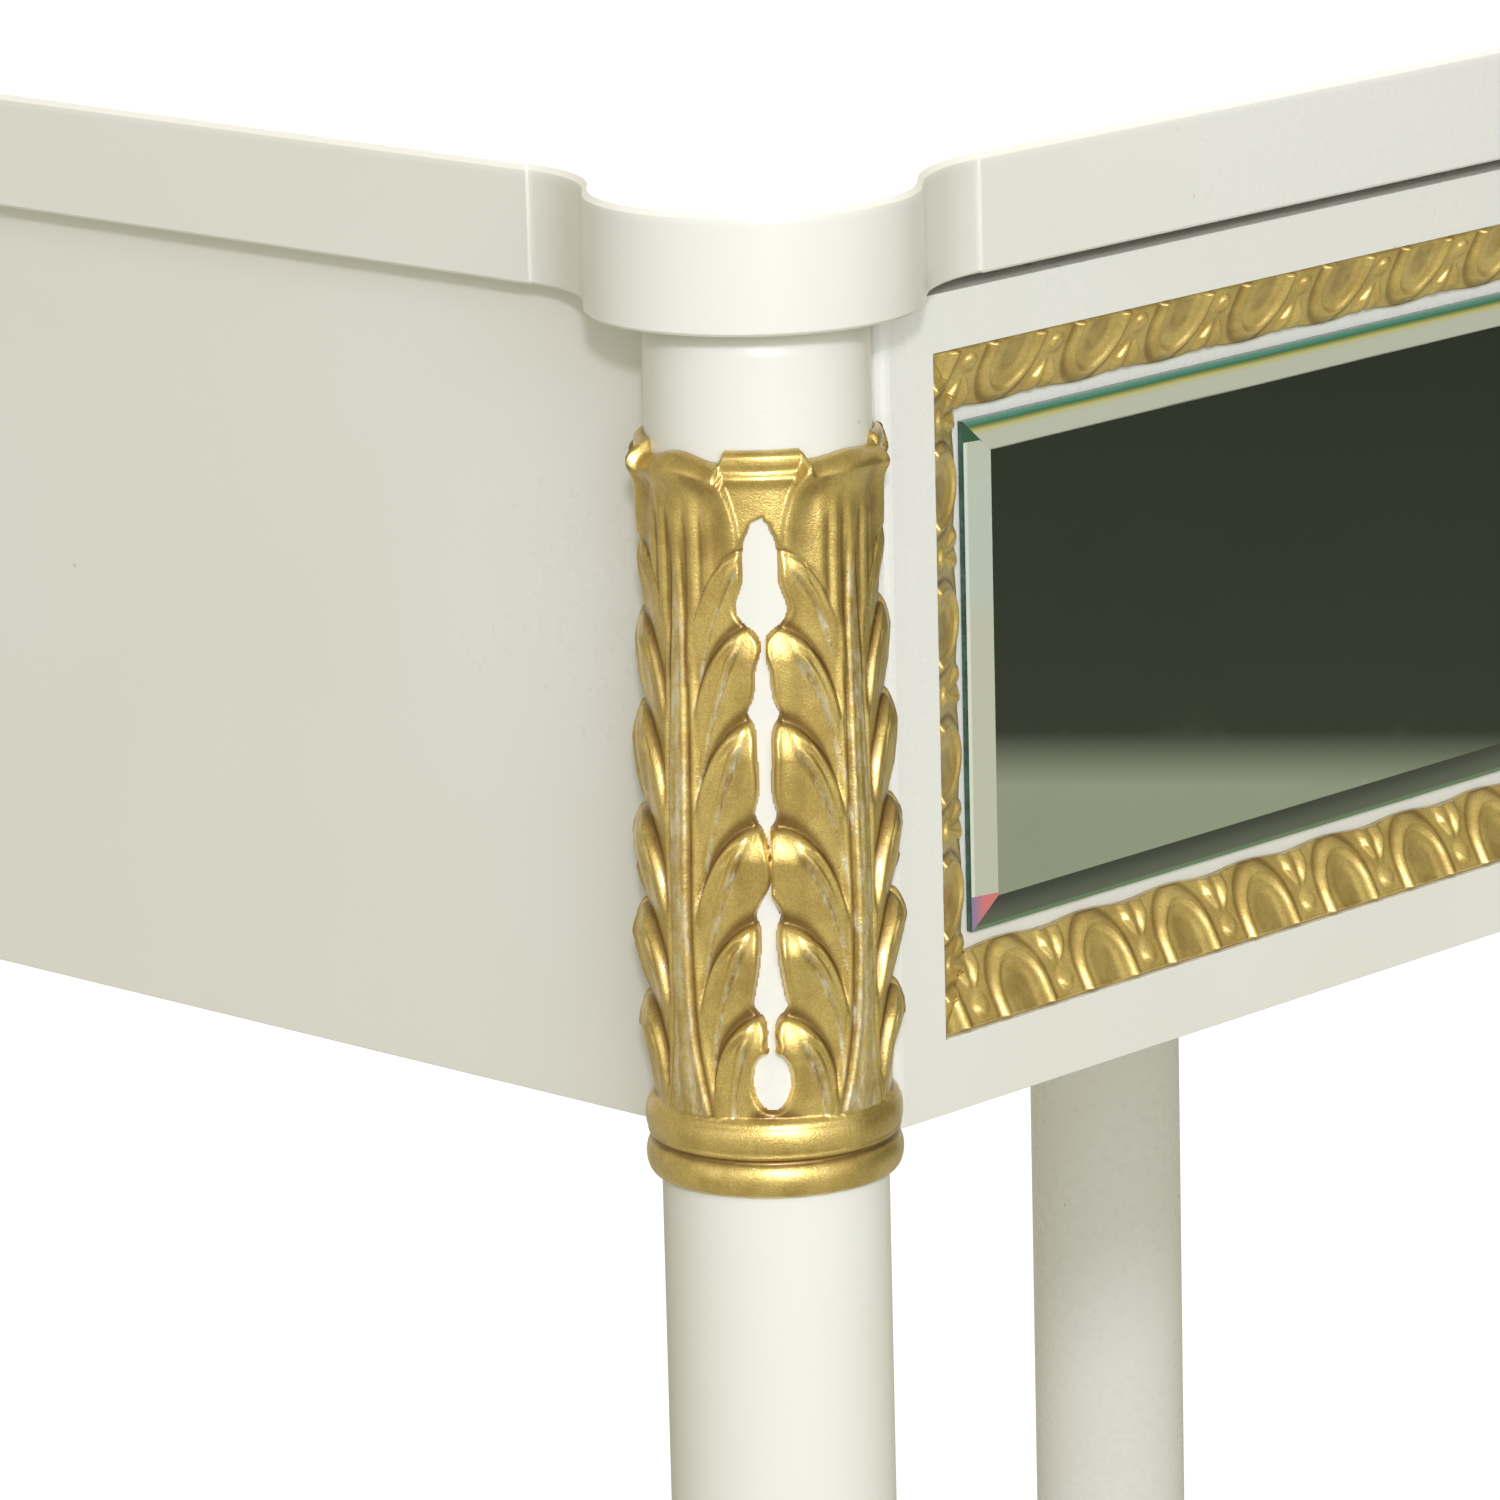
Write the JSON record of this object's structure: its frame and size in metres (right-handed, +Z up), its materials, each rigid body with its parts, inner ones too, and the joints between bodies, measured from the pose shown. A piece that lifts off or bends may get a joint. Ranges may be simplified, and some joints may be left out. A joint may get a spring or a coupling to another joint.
{
  "type": "dressing table",
  "caption": "Painted dressing table on column legs with carved gilt collars, and one wide drawer whose front holds a bevelled mirror in a gilt moulding.",
  "frame": {"origin": "on the floor, under the middle of the table's outline", "axes": "+Z up, -Y out of the drawer front, +X to the right of someone facing the drawer"},
  "size_m": [0.7746, 0.5896, 0.76],
  "materials": {
    "cream_paint": "satin cream lacquer over wood",
    "cream_front": "satin cream lacquer over wood",
    "gilt_collar": "carved wood, gilded and lightly rubbed",
    "gilt_moulding": "carved wood, gilded",
    "mirror": "silvered plate with a bevel and ground green edge",
    "birch": "clear matt lacquer",
    "steel": "zinc plated",
    "nylon": "matt"
  },
  "bodies": {
    "carcass": {"back_panel": "cream_paint", "collar_back_left": "gilt_collar", "collar_back_right": "gilt_collar", "collar_front_left": "gilt_collar", "collar_front_right": "gilt_collar", "corner_block_back_left": "birch", "corner_block_back_right": "birch", "corner_block_front_left": "birch", "corner_block_front_right": "birch", "cross_rail": "birch", "foot_glide_back_left": "nylon", "foot_glide_back_right": "nylon", "foot_glide_front_left": "nylon", "foot_glide_front_right": "nylon", "front_bottom_rail": "birch", "front_top_rail": "birch", "kicker_left": "birch", "kicker_right": "birch", "leg_back_left": "cream_paint", "leg_back_right": "cream_paint", "leg_front_left": "cream_paint", "leg_front_right": "cream_paint", "pull_stop_left": "birch", "pull_stop_right": "birch", "runner_left": "birch", "runner_right": "birch", "side_panel_left": "cream_paint", "side_panel_right": "cream_paint", "slab_screw_back_left": "steel", "slab_screw_back_right": "steel", "slab_screw_front_left": "steel", "slab_screw_front_right": "steel", "top_slab": "cream_paint"},
    "drawer": {"drawer_back": "birch", "drawer_bottom": "birch", "drawer_front": "cream_front", "drawer_side_left": "birch", "drawer_side_right": "birch", "drawer_sub_front": "birch", "front_screw_left_high": "steel", "front_screw_left_low": "steel", "front_screw_right_high": "steel", "front_screw_right_low": "steel", "mirror_glass": "mirror", "moulding_bottom": "gilt_moulding", "moulding_left": "gilt_moulding", "moulding_right": "gilt_moulding", "moulding_top": "gilt_moulding"}
  },
  "joints": [
    {"name": "drawer_slide", "type": "slide", "parent": "carcass", "child": "drawer", "axis": [0, -1, 0], "range_m": [0, 0.28]}
  ]
}
